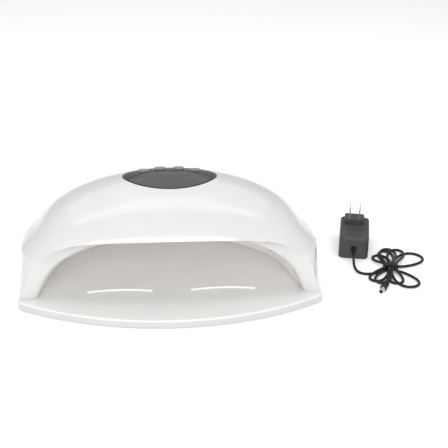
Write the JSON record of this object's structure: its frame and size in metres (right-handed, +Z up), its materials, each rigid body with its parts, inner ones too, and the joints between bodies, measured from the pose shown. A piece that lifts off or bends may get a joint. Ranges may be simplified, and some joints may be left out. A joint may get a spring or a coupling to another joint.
{
  "type": "two-hand uv nail lamp",
  "caption": "White domed two-hand UV nail-curing lamp on a lift-off tray, with dark top panel, timer buttons, and a black wall adapter with its cord tied in a hank.",
  "frame": {"origin": "centre of the lamp's footprint, on the surface it stands on, its adapter and cord left out", "axes": "+X to the lamp's right as its mouth is faced, -Y out of the mouth towards the user, +Z up"},
  "size_m": [0.5069, 0.2402, 0.1442],
  "materials": {
    "tray_white": "satin moulded",
    "foot_rubber": "matt",
    "guide_white": "polished",
    "steel": "plain",
    "housing_white": "high gloss",
    "reflector_white": "gloss",
    "panel_dark": "smoked gloss",
    "lens_smoke": "smoked gloss",
    "module_black": "matt",
    "board_green": "lacquered",
    "led_clear": "clear lens",
    "board_aluminium": "plain",
    "sensor_black": "matt",
    "adapter_black": "fine textured",
    "plate_black": "smooth",
    "nickel": "plated",
    "cord_black": "flexible jacket",
    "tie_black": "wrapped",
    "plug_black": "moulded",
    "button_grey": "satin"
  },
  "bodies": {
    "base": {"base_tray": "tray_white", "rubber_feet": "foot_rubber", "finger_guide_left": "guide_white", "finger_guide_right": "guide_white", "tray_steel_discs": "steel", "adapter_front_case": "adapter_black", "adapter_back_case": "adapter_black", "ac_blades": "nickel", "rating_plate": "plate_black", "adapter_board": "board_green", "adapter_transformer": "module_black", "adapter_capacitors": "board_aluminium", "adapter_strain_relief": "cord_black", "dc_cord": "cord_black", "cord_hank": "cord_black", "cord_tie": "tie_black", "plug_tail": "cord_black", "plug_strain_relief": "cord_black", "plug_grip": "plug_black", "plug_barrel": "nickel", "plug_tip": "sensor_black"},
    "housing": {"top_housing": "housing_white", "inner_reflector": "reflector_white", "bottom_frame": "tray_white", "housing_magnets": "steel", "housing_screws": "steel", "control_panel": "panel_dark", "display_lens": "lens_smoke", "display_module": "module_black", "control_board": "board_green", "tact_switches": "steel", "board_screws": "steel", "ceiling_uv_leds": "led_clear", "wall_uv_leds": "led_clear", "ceiling_led_boards": "board_aluminium", "wall_led_boards": "board_aluminium", "hand_sensor_left": "sensor_black", "hand_sensor_right": "sensor_black", "dc_jack": "sensor_black"},
    "button_10s": {"timer_button_10s": "button_grey"},
    "button_30s": {"timer_button_30s": "button_grey"},
    "button_60s": {"timer_button_60s": "button_grey"},
    "button_99s": {"timer_button_99s": "button_grey"}
  },
  "joints": [
    {"name": "housing_lift", "type": "slide", "parent": "base", "child": "housing", "axis": [0, 0, 1], "range_m": [0, 0.08]},
    {"name": "press_10s", "type": "slide", "parent": "housing", "child": "button_10s", "axis": [0, 0, -1], "range_m": [0, 0.001], "stiffness_N_per_m": 350},
    {"name": "press_30s", "type": "slide", "parent": "housing", "child": "button_30s", "axis": [0, 0, -1], "range_m": [0, 0.001], "stiffness_N_per_m": 350},
    {"name": "press_60s", "type": "slide", "parent": "housing", "child": "button_60s", "axis": [0, 0, -1], "range_m": [0, 0.001], "stiffness_N_per_m": 350},
    {"name": "press_99s", "type": "slide", "parent": "housing", "child": "button_99s", "axis": [0, 0, -1], "range_m": [0, 0.001], "stiffness_N_per_m": 350}
  ]
}
